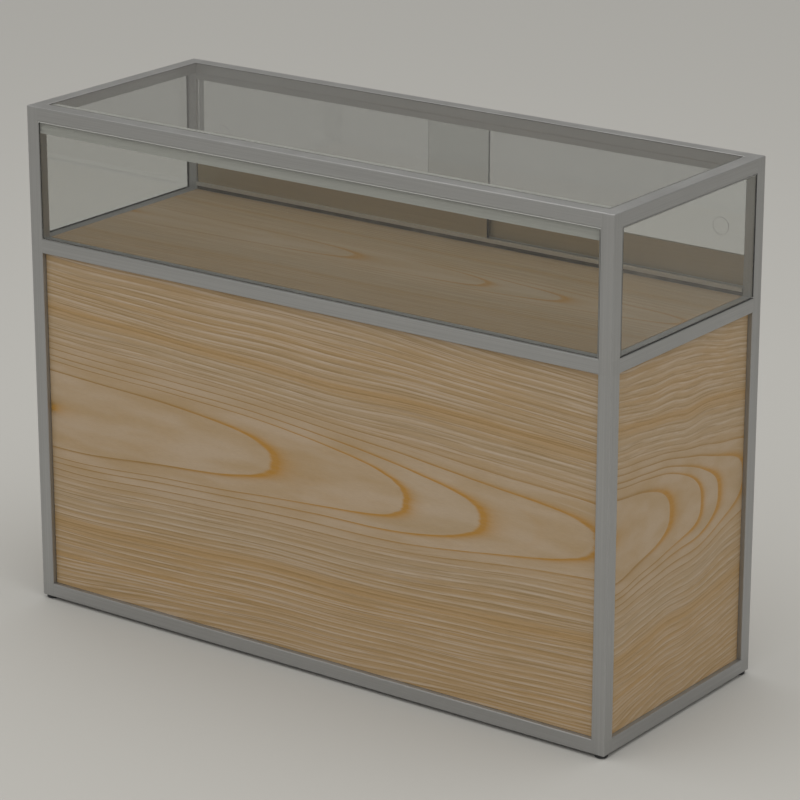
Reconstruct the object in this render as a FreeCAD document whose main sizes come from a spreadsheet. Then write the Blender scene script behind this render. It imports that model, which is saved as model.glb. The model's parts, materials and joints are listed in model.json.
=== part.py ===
import FreeCAD, Part
import os
import Sketcher

# Aluminium display case: a low glass show space on a closed storage cabinet, in a frame of square tube.
# Millimetres, Z up, the floor at zero under the middle of the case, the customer's side towards minus Y.

# Driving sizes, each written once
SIZES = {
    # The frame
    "frame_width": 1200,
    "frame_depth": 450,
    "frame_height": 900,
    "profile_size": 25,
    "profile_wall": 1.5,
    "profile_round": 2,
    "show_height": 210,
    "spigot_length": 30,
    "spigot_gap": 0.1,
    "spigot_round": 1,
    # The glides under the corners
    "foot_height": 6,
    "foot_diameter": 22,
    "foot_chamfer": 1.5,
    "foot_stem_diameter": 8,
    "foot_stem_length": 12,
    "foot_bore_gap": 0.05,
    "foot_bore_extra": 1,
    # The fixed panes and the dark seals round them
    "glass_thickness": 6,
    "seal_thickness": 1.5,
    "seal_recess": 0.4,
    # The boards of the cabinet
    "board_thickness": 16,
    "board_gap": 0.3,
    "cleat_width": 12,
    "shelf_level": 320,
    "shelf_rear_gap": 58.5,
    "shelf_gap": 1.5,
    "pin_diameter": 5,
    "pin_reach": 8,
    "pin_depth": 9,
    "pin_gap": 0.05,
    "pin_collar_diameter": 8,
    "pin_collar_thickness": 1,
    "pin_inset": 40,
    "pin_front_inset": 200,
    # The angle brackets that hold the upright panels
    "bracket_leg": 12,
    "bracket_thickness": 1.5,
    "bracket_width": 20,
    "bracket_inset": 90,
    "screw_diameter": 3.5,
    "screw_length": 10,
    "screw_head_diameter": 7,
    "screw_head_height": 2,
    "screw_head_round": 1.2,
    "screw_hole_gap": 0.3,
    # The sliding glass doors behind the show space
    "door_glass_thickness": 5,
    "door_overlap": 134,
    "door_end_gap": 0.5,
    "door_track_wall": 1.4,
    "door_groove": 9.6,
    "door_track_web": 1.5,
    "door_lower_track_height": 13.5,
    "door_track_nose": 3,
    "door_track_nose_height": 6.5,
    "door_upper_track_height": 11,
    "door_side_gap": 0.4,
    "door_lift_gap": 2.5,
    "door_channel_width": 9,
    "door_channel_height": 60.5,
    "door_channel_web": 3,
    "door_channel_gap": 0.1,
    "glide_gap": 0.3,
    "glide_height": 1.2,
    "glide_width": 7,
    "glide_length": 40,
    "glide_inset": 60,
    "glide_peg_diameter": 4,
    "glide_peg_gap": 0.05,
    "grip_diameter": 30,
    "grip_depth": 1.5,
    "grip_inset": 55,
    # The sliding board doors behind the cabinet
    "storage_door_thickness": 8,
    "storage_overlap": 60,
    "storage_groove": 8.8,
    "storage_track_wall": 1.5,
    "storage_track_web": 2,
    "storage_lower_track_height": 8,
    "storage_upper_track_height": 16,
    "storage_lift_gap": 8,
    "finger_hole_diameter": 30,
    "finger_hole_inset": 60,
    "grommet_wall": 1.5,
    "grommet_gap": 0.05,
    "grommet_flange_diameter": 38,
    "grommet_flange_thickness": 1,
    # The lamp housing under and behind the front top rail
    "lamp_front_gap": 0.5,
    "lamp_top_gap": 1.5,
    "lamp_drop": 21.5,
    "lamp_reach": 22,
    "lamp_back_height": 20.5,
    "lamp_lip": 22.5,
    "lamp_wall": 1.5,
    "lamp_cap_thickness": 2,
    "diffuser_thickness": 2,
    "diode_board_width": 10,
    "diode_board_thickness": 1.5,
    "diode_board_inset": 10,
    "diode_size": 5,
    "diode_height": 1,
    "diode_pitch": 50,
}

# Places worked out from the driving sizes
PLACES = {
    "half_width": "frame_width / 2",
    "half_depth": "frame_depth / 2",
    "inner_half_width": "half_width - profile_size",
    "inner_half_depth": "half_depth - profile_size",
    "tube_x": "half_width - profile_size / 2",
    "tube_y": "half_depth - profile_size / 2",
    "base_rail_top": "foot_height + profile_size",
    "frame_top": "foot_height + frame_height",
    "top_rail_bottom": "frame_top - profile_size",
    "mid_rail_top": "top_rail_bottom - show_height",
    "mid_rail_bottom": "mid_rail_top - profile_size",
    "base_rail_z": "foot_height + profile_size / 2",
    "mid_rail_z": "mid_rail_top - profile_size / 2",
    "top_rail_z": "frame_top - profile_size / 2",
    "spigot_half": "profile_size / 2 - profile_wall - spigot_gap",
    "show_z": "(mid_rail_top + top_rail_bottom) / 2",
    "show_half_height": "(top_rail_bottom - mid_rail_top) / 2",
    "store_z": "(base_rail_top + mid_rail_bottom) / 2",
    "store_half_height": "(mid_rail_bottom - base_rail_top) / 2",
    "board_half": "board_thickness / 2",
    "cleat_height": "profile_size - board_thickness",
    "shelf_bottom": "foot_height + shelf_level",
    "pin_z": "shelf_bottom - pin_diameter / 2",
    "shelf_front": "-inner_half_depth + shelf_gap",
    "shelf_rear": "inner_half_depth - shelf_rear_gap",
    "pin_front_y": "-inner_half_depth + pin_inset",
    "pin_rear_y": "shelf_rear - pin_inset",
    "pin_x": "inner_half_width - pin_front_inset",
    "screw_spot": "(bracket_thickness + bracket_leg) / 2",
    "door_pitch": "door_groove + door_track_wall",
    "door_track_width": "3 * door_track_wall + 2 * door_groove",
    "door_upper_groove": "door_glass_thickness + 2 * door_side_gap",
    "door_upper_middle": "door_pitch - door_upper_groove",
    "door_upper_side": "(door_track_width - door_upper_groove - door_pitch) / 2",
    "door_width": "inner_half_width - door_end_gap + door_overlap / 2",
    "door_x": "inner_half_width - door_end_gap - door_width / 2",
    "door_bottom": "mid_rail_top + door_track_web + glide_gap",
    "channel_bottom": "door_bottom + glide_height",
    "glass_bottom": "channel_bottom + door_channel_web",
    "glass_top": "top_rail_bottom - door_track_web - door_lift_gap",
    "glide_x": "door_width / 2 - glide_inset",
    "storage_pitch": "storage_groove + storage_track_wall",
    "storage_width": "inner_half_width - door_end_gap + storage_overlap / 2",
    "storage_x": "inner_half_width - door_end_gap - storage_width / 2",
    "storage_bottom": "base_rail_top + storage_track_web + glide_gap",
    "storage_top": "mid_rail_bottom - storage_track_web - storage_lift_gap",
    "finger_hole_x": "storage_width / 2 - finger_hole_inset",
    "grommet_outer": "finger_hole_diameter / 2 - grommet_gap",
    "lamp_front": "-half_depth + glass_thickness + lamp_front_gap",
    "lamp_rear": "-inner_half_depth + lamp_reach",
    "lamp_step": "-inner_half_depth",
    "lamp_low": "top_rail_bottom - lamp_drop",
    "lamp_high": "frame_top - glass_thickness - lamp_top_gap",
    "lamp_back_low": "lamp_high - lamp_back_height",
    "lamp_lip_end": "lamp_front + lamp_lip",
    "lamp_half_length": "inner_half_width - lamp_cap_thickness",
    "diode_board_y": "(lamp_front + lamp_wall + lamp_step) / 2",
    "diode_board_top": "top_rail_bottom - lamp_wall",
}

# Where the brackets stand, as shares of the reach from the middle to the outermost ones
FRONT_BRACKET_SHARES = (-1, 0, 1)
SIDE_BRACKET_SHARES = (-1, 1)

LEFT = -1
RIGHT = 1
FRONT = -1
REAR = 1
UP = 1
DOWN = -1
QUARTER_TURN = 90

doc = FreeCAD.newDocument("DisplayCase")


# Sizes and formulas

def make_sheet():
    """Writes every driving size into the sheet under its own alias."""
    sheet = doc.addObject("Spreadsheet::Sheet", "Sizes")
    for row, (name, value) in enumerate(SIZES.items(), start=1):
        sheet.set(f"A{row}", name)
        sheet.set(f"B{row}", str(value))
        sheet.setAlias(f"B{row}", name)
    doc.recompute()
    return sheet


def formula(text):
    """Turns a sum of named sizes and places into an expression on the sheet."""
    words = []
    word = ""
    for letter in str(text) + " ":
        if letter.isalnum() or letter == "_":
            word += letter
            continue
        if word in SIZES:
            word = f"Sizes.{word}"
        elif word in PLACES:
            word = f"({formula(PLACES[word])})"
        words.append(word + letter)
        word = ""
    return "".join(words).strip()


def number(text):
    """The value of a formula, in millimetres."""
    return float(SHEET.evalExpression(formula(text)))


def bind(item, name, text):
    item.setExpression(name, formula(text))


def pointing(x, y, z):
    """The turn that brings a piece's upright axis to the given direction."""
    return FreeCAD.Rotation(FreeCAD.Vector(0, 0, 1), FreeCAD.Vector(x, y, z))


def put(item, x, y, z, rotation=None):
    """Places an object by formulas, turned first where a rotation is given."""
    if rotation is not None:
        item.Placement = FreeCAD.Placement(FreeCAD.Vector(), rotation)
    bind(item, "Placement.Base.x", x)
    bind(item, "Placement.Base.y", y)
    bind(item, "Placement.Base.z", z)
    return item


# Sketches

def origin_plane(body, role):
    for feature in body.Origin.OriginFeatures:
        if feature.Role == role:
            return feature
    raise ValueError(role)


def new_body(label):
    body = doc.addObject("PartDesign::Body", label)
    body.Label = label
    return body


def new_sketch(body, role, offset="0"):
    """A sketch on one of the body's own planes, moved along the plane's normal by the offset."""
    sketch = body.newObject("Sketcher::SketchObject", f"{body.Name}_sketch")
    sketch.AttachmentSupport = [(origin_plane(body, role), "")]
    sketch.MapMode = "FlatFace"
    if offset != "0":
        bind(sketch, "AttachmentOffset.Base.z", offset)
    return sketch


def fix_point(sketch, edge, end, u, v):
    """Holds one end of an edge at a place given by two formulas."""
    for kind, text, axis in (("DistanceX", u, -2), ("DistanceY", v, -1)):
        if number(text) == 0:
            sketch.addConstraint(Sketcher.Constraint("PointOnObject", edge, end, axis))
            continue
        index = sketch.addConstraint(Sketcher.Constraint(kind, -1, 1, edge, end, number(text)))
        bind(sketch, f"Constraints[{index}]", text)


def draw_polygon(sketch, points):
    """A closed outline of straight lines through points given as pairs of formulas."""
    corners = [FreeCAD.Vector(number(u), number(v)) for u, v in points]
    following = corners[1:] + corners[:1]
    edges = [sketch.addGeometry(Part.LineSegment(a, b)) for a, b in zip(corners, following)]
    for edge, after in zip(edges, edges[1:] + edges[:1]):
        sketch.addConstraint(Sketcher.Constraint("Coincident", edge, 2, after, 1))
    for edge, (u, v) in zip(edges, points):
        fix_point(sketch, edge, 1, u, v)


def draw_rectangle(sketch, half_u, half_v):
    draw_polygon(sketch, [(f"-({half_u})", f"-({half_v})"), (half_u, f"-({half_v})"),
                          (half_u, half_v), (f"-({half_u})", half_v)])


def draw_circle(sketch, u, v, diameter):
    centre = FreeCAD.Vector(number(u), number(v))
    circle = Part.Circle(centre, FreeCAD.Vector(0, 0, 1), number(diameter) / 2)
    edge = sketch.addGeometry(circle)
    fix_point(sketch, edge, 3, u, v)
    index = sketch.addConstraint(Sketcher.Constraint("Diameter", edge, number(diameter)))
    bind(sketch, f"Constraints[{index}]", diameter)


# Features

def pad(body, sketch, length, symmetric=True, reversed_way=False):
    feature = body.newObject("PartDesign::Pad", f"{body.Name}_pad")
    feature.Profile = sketch
    feature.SideType = "Symmetric" if symmetric else "One side"
    feature.Reversed = reversed_way
    bind(feature, "Length", length)
    body.Tip = feature
    return feature


def sink(body, sketch, depth):
    """Cuts to the given depth below the sketch's plane; the other half of the cut is in the air."""
    feature = body.newObject("PartDesign::Pocket", f"{body.Name}_pocket")
    feature.Profile = sketch
    feature.SideType = "Symmetric"
    bind(feature, "Length", f"2 * ({depth})")
    body.Tip = feature
    return feature


def turn(body, points):
    """A turned piece: the outline, in radius and height, goes once round the body's upright axis."""
    sketch = new_sketch(body, "XZ_Plane")
    draw_polygon(sketch, points)
    feature = body.newObject("PartDesign::Revolution", f"{body.Name}_turned")
    feature.Profile = sketch
    feature.ReferenceAxis = (sketch, ["V_Axis"])
    body.Tip = feature
    return feature


def round_edges(body, wanted, radius):
    """Rounds the edges of the tip whose midpoint passes the test."""
    doc.recompute()
    base = body.Tip
    names = []
    for index, edge in enumerate(base.Shape.Edges, start=1):
        if wanted(edge.CenterOfMass):
            names.append(f"Edge{index}")
    feature = body.newObject("PartDesign::Fillet", f"{body.Name}_round")
    feature.Base = (base, names)
    bind(feature, "Radius", radius)
    body.Tip = feature
    return feature


ALONG = {"x": "YZ_Plane", "y": "XZ_Plane", "z": "XY_Plane"}


def bar(label, axis, points, length, holes=()):
    """A straight piece of one section along an axis, centred on its own origin."""
    body = new_body(label)
    sketch = new_sketch(body, ALONG[axis])
    draw_polygon(sketch, points)
    for hole in holes:
        draw_polygon(sketch, hole)
    pad(body, sketch, length)
    return body


def rectangle(half_u, half_v):
    return [(f"-({half_u})", f"-({half_v})"), (half_u, f"-({half_v})"),
            (half_u, half_v), (f"-({half_u})", half_v)]


def group(label, parts):
    """One node of separate solids."""
    compound = doc.addObject("Part::Compound", label)
    compound.Label = label
    compound.Links = parts
    return compound


def mirrored(source, normal):
    copy = doc.addObject("Part::Mirroring", f"{source.Name}_mirrored")
    copy.Source = source
    copy.Base = (0, 0, 0)
    copy.Normal = normal
    return copy


def copy_of(source):
    link = doc.addObject("App::Link", f"{source.Name}_copy")
    link.LinkedObject = source
    link.LinkTransform = False
    return link


def at_four_corners(label, source):
    other = mirrored(source, (1, 0, 0))
    return group(label, [source, other, mirrored(source, (0, 1, 0)), mirrored(other, (0, 1, 0))])


# The frame: square tubes pushed onto the spigots of the corner connectors

def tube(label, axis, length, x, y, z):
    """One square tube with its four long edges rounded."""
    inner = "profile_size / 2 - profile_wall"
    body = bar(label, axis, rectangle("profile_size / 2", "profile_size / 2"), length,
               holes=[rectangle(inner, inner)])
    middle = number("profile_size / 2 - profile_wall / 2")

    def is_outer_long_edge(point):
        sides = {"x": (point.y, point.z), "y": (point.x, point.z), "z": (point.x, point.y)}[axis]
        return all(abs(side) > middle for side in sides) and abs(getattr(point, axis)) < middle

    round_edges(body, is_outer_long_edge, "profile_round")
    return put(body, x, y, z)


def make_tubes():
    """The posts stand in two lengths, so that the middle connectors join all four ways."""
    tubes = []
    for depth_name, y_side in (("front", FRONT), ("rear", REAR)):
        for side_name, x_side in (("left", LEFT), ("right", RIGHT)):
            corner = f"{depth_name}_{side_name}"
            x = f"{x_side} * tube_x"
            y = f"{y_side} * tube_y"
            tubes.append(tube(f"lower_post_{corner}", "z", "2 * store_half_height", x, y, "store_z"))
            tubes.append(tube(f"upper_post_{corner}", "z", "2 * show_half_height", x, y, "show_z"))
    for level_name, z in (("base", "base_rail_z"), ("mid", "mid_rail_z"), ("top", "top_rail_z")):
        for name, side in (("front", FRONT), ("rear", REAR)):
            label = f"{level_name}_rail_{name}"
            tubes.append(tube(label, "x", "2 * inner_half_width", "0", f"{side} * tube_y", z))
        for name, side in (("left", LEFT), ("right", RIGHT)):
            label = f"{level_name}_rail_{name}"
            tubes.append(tube(label, "y", "2 * inner_half_depth", f"{side} * tube_x", "0", z))
    return tubes


def connector(name, upright, z):
    """A corner block at the left front, with a square spigot for every tube that meets there."""
    body = new_body(f"{name}_block")
    block = new_sketch(body, "XY_Plane")
    draw_rectangle(block, "profile_size / 2", "profile_size / 2")
    pad(body, block, "profile_size")
    ways = [("YZ_Plane", False), ("XZ_Plane", True)] + [("XY_Plane", way == DOWN) for way in upright]
    for role, backwards in ways:
        sketch = new_sketch(body, role)
        draw_rectangle(sketch, "spigot_half", "spigot_half")
        pad(body, sketch, "profile_size / 2 + spigot_length", symmetric=False, reversed_way=backwards)
    face = number("profile_size / 2 - profile_wall")
    closed = [way for way in (UP, DOWN) if way not in upright]

    def is_outer_edge(point):
        at_left = point.x < -face
        at_front = point.y < -face
        at_end = any(point.z * way > face for way in closed)
        return [at_left, at_front, at_end].count(True) >= 2

    round_edges(body, is_outer_edge, "profile_round")
    if UP in upright and DOWN not in upright:
        bore = new_sketch(body, "XY_Plane", "-profile_size / 2")
        draw_circle(bore, "0", "0", "foot_stem_diameter + 2 * foot_bore_gap")
        sink(body, bore, "foot_stem_length + foot_bore_extra")
    put(body, "-tube_x", "-tube_y", z)
    return at_four_corners(name, body)


def make_connectors():
    return [
        connector("bottom_connectors", [UP], "base_rail_z"),
        connector("mid_connectors", [UP, DOWN], "mid_rail_z"),
        connector("top_connectors", [DOWN], "top_rail_z"),
    ]


def make_feet():
    """Plain glides pushed into the bottom connectors."""
    body = new_body("foot")
    rim = "foot_diameter / 2"
    stem = "foot_stem_diameter / 2"
    turn(body, [
        ("0", "0"),
        (f"{rim} - foot_chamfer", "0"),
        (rim, "foot_chamfer"),
        (rim, "foot_height"),
        (stem, "foot_height"),
        (stem, "foot_height + foot_stem_length"),
        ("0", "foot_height + foot_stem_length"),
    ])
    put(body, "-tube_x", "-tube_y", "0")
    return [at_four_corners("feet", body)]


# The fixed panes, flush with the frame's outer faces

def pane(name, axis, half_u, half_v, x, y, z, outward):
    """A pane and the seal that fills the gap round it, a little below the faces."""
    edge_u = f"{half_u} - seal_thickness"
    edge_v = f"{half_v} - seal_thickness"
    glass = bar(f"{name}_glass", axis, rectangle(edge_u, edge_v), "glass_thickness")
    seal = bar(f"{name}_glass_seal", axis, rectangle(half_u, half_v), "glass_thickness - seal_recess",
               holes=[rectangle(edge_u, edge_v)])
    put(glass, x, y, z)
    inset = [f"{value} - ({way} * seal_recess / 2)" for value, way in zip((x, y, z), outward)]
    put(seal, *inset)
    return [glass, seal]


def make_panes():
    half_width = "inner_half_width"
    half_depth = "inner_half_depth"
    half_height = "show_half_height"
    x = "(half_width - glass_thickness / 2)"
    y = "(half_depth - glass_thickness / 2)"
    z = "(frame_top - glass_thickness / 2)"
    return (
        pane("front", "y", half_width, half_height, "0", f"-{y}", "show_z", (0, FRONT, 0))
        + pane("left", "x", half_depth, half_height, f"-{x}", "0", "show_z", (LEFT, 0, 0))
        + pane("right", "x", half_depth, half_height, x, "0", "show_z", (RIGHT, 0, 0))
        + pane("top", "z", half_width, half_depth, "0", "0", z, (0, 0, UP))
    )


# The sliding glass doors

def double_track(label, wall, middle, groove, web, height, way, y, z, nose=None):
    """A track of two grooves along the width, open upwards or downwards, standing on its web.

    A nose, given as its reach and height, runs along the top of the front wall.
    """
    outer = f"({middle} / 2 + {groove} + {wall})"
    inner = f"({middle} / 2 + {groove})"
    nearest = f"({middle} / 2)"
    section = [
        (f"-{outer}", "0"), (outer, "0"), (outer, height), (inner, height), (inner, web), (nearest, web),
        (nearest, height), (f"-{nearest}", height), (f"-{nearest}", web), (f"-{inner}", web),
        (f"-{inner}", height), (f"-{outer}", height),
    ]
    if nose:
        reach, depth = nose
        front = f"-({outer} + {reach})"
        section[-1:] = [(front, height), (front, f"({height} - {depth})"), (f"-{outer}", f"({height} - {depth})")]
    body = bar(label, "x", [(u, f"{way} * {v}") for u, v in section], "2 * inner_half_width")
    return put(body, "0", y, z)


def make_glass_door(name, side, row):
    """A pane in a bottom channel on two glides; the left door runs in the front groove."""
    x = f"{side} * door_x"
    y = f"(tube_y + {row} * door_pitch / 2)"
    glass = bar(f"glass_door_{name}", "y", rectangle("door_width / 2", "(glass_top - glass_bottom) / 2"),
                "door_glass_thickness")
    grip = new_sketch(glass, "XZ_Plane", "-door_glass_thickness / 2")
    draw_circle(grip, f"{side} * (door_width / 2 - grip_inset)", "0", "grip_diameter")
    sink(glass, grip, "grip_depth")
    put(glass, x, y, "(glass_top + glass_bottom) / 2")

    outer = "(door_channel_width / 2)"
    inner = "(door_glass_thickness / 2 + door_channel_gap)"
    channel = bar(f"glass_door_{name}_channel", "x", [
        (f"-{outer}", "0"), (outer, "0"), (outer, "door_channel_height"), (inner, "door_channel_height"),
        (inner, "door_channel_web"), (f"-{inner}", "door_channel_web"),
        (f"-{inner}", "door_channel_height"), (f"-{outer}", "door_channel_height"),
    ], "door_width")
    pegs = new_sketch(channel, "XY_Plane")
    for end in (LEFT, RIGHT):
        draw_circle(pegs, f"{end} * glide_x", "0", "glide_peg_diameter + 2 * glide_peg_gap")
    sink(channel, pegs, "door_channel_web")
    put(channel, x, y, "channel_bottom")

    glides = []
    for end in (LEFT, RIGHT):
        foot = rectangle("glide_length / 2", "glide_width / 2")
        glide = bar(f"glass_door_{name}_glide", "z", foot, "glide_height")
        peg = new_sketch(glide, "XY_Plane")
        draw_circle(peg, "0", "0", "glide_peg_diameter")
        pad(glide, peg, "glide_height / 2 + door_channel_web", symmetric=False)
        glides.append(put(glide, f"{x} + {end} * glide_x", y, "door_bottom + glide_height / 2"))
    return [glass, channel, group(f"glass_door_{name}_glides", glides)]


def make_glass_doors():
    lower = double_track("glass_door_track_lower", "door_track_wall", "door_track_wall",
                         "door_groove", "door_track_web", "door_lower_track_height",
                         UP, "tube_y", "mid_rail_top",
                         nose=("door_track_nose", "door_track_nose_height"))
    upper = double_track("glass_door_track_upper", "door_upper_side", "door_upper_middle",
                         "door_upper_groove", "door_track_web", "door_upper_track_height",
                         DOWN, "tube_y", "top_rail_bottom")
    left = make_glass_door("left", LEFT, FRONT)
    right = make_glass_door("right", RIGHT, REAR)
    return [lower, upper] + left + right


# The sliding board doors of the cabinet

def make_storage_door(name, side, row):
    """A board with a finger hole lined by a flanged grommet."""
    x = f"{side} * storage_x"
    y = f"(tube_y + {row} * storage_pitch / 2)"
    z = "(storage_top + storage_bottom) / 2"
    hole_x = f"{side} * finger_hole_x"
    face = rectangle("storage_width / 2", "(storage_top - storage_bottom) / 2")
    board = bar(f"storage_door_{name}", "y", face, "storage_door_thickness")
    hole = new_sketch(board, "XZ_Plane")
    draw_circle(hole, hole_x, "0", "finger_hole_diameter")
    sink(board, hole, "storage_door_thickness")
    put(board, x, y, z)

    grommet = new_body(f"storage_door_{name}_grommet")
    bore = "(grommet_outer - grommet_wall)"
    turn(grommet, [
        (bore, "0"),
        ("grommet_outer", "0"),
        ("grommet_outer", "storage_door_thickness"),
        ("grommet_flange_diameter / 2", "storage_door_thickness"),
        ("grommet_flange_diameter / 2", "storage_door_thickness + grommet_flange_thickness"),
        (bore, "storage_door_thickness + grommet_flange_thickness"),
    ])
    put(grommet, f"{x} + {hole_x}", f"{y} - storage_door_thickness / 2", z, pointing(0, REAR, 0))
    return [board, grommet]


def make_storage_doors():
    lower = double_track("storage_track_lower", "storage_track_wall", "storage_track_wall",
                         "storage_groove", "storage_track_web", "storage_lower_track_height",
                         UP, "tube_y", "base_rail_top")
    upper = double_track("storage_track_upper", "storage_track_wall", "storage_track_wall",
                         "storage_groove", "storage_track_web", "storage_upper_track_height",
                         DOWN, "tube_y", "mid_rail_bottom")
    left = make_storage_door("left", LEFT, FRONT)
    right = make_storage_door("right", RIGHT, REAR)
    return [lower, upper] + left + right


# The boards, what carries them and what fixes them

def make_flat_boards():
    """The deck under the show space, the cabinet's floor and its shelf."""
    whole = rectangle("inner_half_width - board_gap", "inner_half_depth - board_gap")
    shelf_face = rectangle("inner_half_width - shelf_gap", "(shelf_rear - shelf_front) / 2")
    deck = bar("deck_board", "z", whole, "board_thickness")
    base = bar("base_board", "z", whole, "board_thickness")
    shelf = bar("storage_shelf", "z", shelf_face, "board_thickness")
    put(deck, "0", "0", "mid_rail_top - board_half")
    put(base, "0", "0", "base_rail_top - board_half")
    put(shelf, "0", "(shelf_rear + shelf_front) / 2", "shelf_bottom + board_half")
    return [deck, base, shelf]


def make_upright_boards():
    """The laminate panels, flush with the inner faces of the tubes and drilled for the shelf pins."""
    half_height = "store_half_height - board_gap"
    hole = "pin_diameter + 2 * pin_gap"
    front_face = rectangle("inner_half_width - board_gap", half_height)
    side_face = rectangle("inner_half_depth - board_gap", half_height)
    front = bar("front_panel", "y", front_face, "board_thickness")
    holes = new_sketch(front, "XZ_Plane", "-board_half")
    for side in (LEFT, RIGHT):
        draw_circle(holes, f"{side} * pin_x", "pin_z - store_z", hole)
    sink(front, holes, "pin_depth")
    put(front, "0", "-inner_half_depth - board_half", "store_z")
    panels = [front]
    for name, side in (("left", LEFT), ("right", RIGHT)):
        panel = bar(f"{name}_panel", "x", side_face, "board_thickness")
        holes = new_sketch(panel, "YZ_Plane", f"{-side} * board_half")
        for y in ("pin_front_y", "pin_rear_y"):
            draw_circle(holes, y, "pin_z - store_z", hole)
        sink(panel, holes, "pin_depth")
        panels.append(put(panel, f"{side} * (inner_half_width + board_half)", "0", "store_z"))
    return panels


def make_cleats():
    """Square bars on the rails' inner faces, on which the deck and the floor lie."""
    section = rectangle("cleat_width / 2", "cleat_height / 2")
    cleats = []
    for rail_bottom in ("mid_rail_bottom", "foot_height"):
        z = f"{rail_bottom} + cleat_height / 2"
        for side in (FRONT, REAR):
            long_bar = bar("long_cleat", "x", section, "2 * inner_half_width")
            cleats.append(put(long_bar, "0", f"{side} * (inner_half_depth - cleat_width / 2)", z))
        for side in (LEFT, RIGHT):
            short_bar = bar("short_cleat", "y", section, "2 * (inner_half_depth - cleat_width)")
            cleats.append(put(short_bar, f"{side} * (inner_half_width - cleat_width / 2)", "0", z))
    return [group("board_cleats", cleats)]


def make_shelf_pins():
    """Turned pins with a collar, two in each side panel and two in the front panel."""
    pin = new_body("shelf_pin")
    radius = "pin_diameter / 2"
    collar = "pin_collar_diameter / 2"
    turn(pin, [
        ("0", "-pin_depth"), (radius, "-pin_depth"), (radius, "0"), (collar, "0"),
        (collar, "pin_collar_thickness"), (radius, "pin_collar_thickness"),
        (radius, "pin_reach"), ("0", "pin_reach"),
    ])
    places = []
    for side in (LEFT, RIGHT):
        for y in ("pin_front_y", "pin_rear_y"):
            places.append((f"{side} * inner_half_width", y, pointing(-side, 0, 0)))
        places.append((f"{side} * pin_x", "-inner_half_depth", pointing(0, REAR, 0)))
    pins = [put(copy_of(pin), x, y, "pin_z", rotation) for x, y, rotation in places]
    return [group("shelf_pins", pins)]


def bracket_places():
    """Each bracket's inner corner, the way into the cabinet and whether it stands up or hangs down."""
    places = []
    for z, upright in (("base_rail_top", UP), ("mid_rail_bottom", DOWN)):
        for share in FRONT_BRACKET_SHARES:
            x = f"{share} * (inner_half_width - bracket_inset)"
            places.append((x, "-inner_half_depth", z, (0, REAR), upright))
        for side in (LEFT, RIGHT):
            for share in SIDE_BRACKET_SHARES:
                y = f"{share} * (inner_half_depth - bracket_inset)"
                places.append((f"{side} * inner_half_width", y, z, (-side, 0), upright))
    return places


def make_brackets():
    """Angle brackets in the cabinet's corners, with a screw through each leg."""
    leg = "bracket_leg"
    thickness = "bracket_thickness"
    bracket = bar("bracket", "x", [("0", "0"), (leg, "0"), (leg, thickness), (thickness, thickness),
                                   (thickness, leg), ("0", leg)], "bracket_width")
    hole = "screw_diameter + 2 * screw_hole_gap"
    for role in ("XY_Plane", "XZ_Plane"):
        sketch = new_sketch(bracket, role)
        draw_circle(sketch, "0", "screw_spot", hole)
        sink(bracket, sketch, thickness)
    screw = new_body("screw")
    shank = "screw_diameter / 2"
    head = "screw_head_diameter / 2"
    turn(screw, [
        ("0", "-screw_length"), (shank, "-screw_length"), (shank, "0"), (head, "0"),
        (head, "screw_head_height - screw_head_round"), (f"{head} - screw_head_round", "screw_head_height"),
        ("0", "screw_head_height"),
    ])
    brackets = []
    screws = []
    for x, y, z, (way_x, way_y), upright in bracket_places():
        facing = FreeCAD.Rotation(FreeCAD.Vector(0, 1, 0), FreeCAD.Vector(way_x, way_y, 0))
        hanging = FreeCAD.Rotation(FreeCAD.Vector(1, 0, 0), 0 if upright == UP else -QUARTER_TURN)
        brackets.append(put(copy_of(bracket), x, y, z, facing.multiply(hanging)))
        spot_x = f"{x} + {way_x} * screw_spot"
        spot_y = f"{y} + {way_y} * screw_spot"
        spot_z = f"{z} + {upright} * bracket_thickness"
        screws.append(put(copy_of(screw), spot_x, spot_y, spot_z, pointing(0, 0, upright)))
        spot_x = f"{x} + {way_x} * bracket_thickness"
        spot_y = f"{y} + {way_y} * bracket_thickness"
        spot_z = f"{z} + {upright} * screw_spot"
        screws.append(put(copy_of(screw), spot_x, spot_y, spot_z, pointing(way_x, way_y, 0)))
    return [group("angle_brackets", brackets), group("bracket_screws", screws)]


# The lamp

LAMP_OUTLINE = [
    ("lamp_front", "lamp_low"), ("lamp_front", "top_rail_bottom"), ("lamp_step", "top_rail_bottom"),
    ("lamp_step", "lamp_high"), ("lamp_rear", "lamp_high"), ("lamp_rear", "lamp_back_low"),
    ("lamp_lip_end", "lamp_low"),
]


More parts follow.
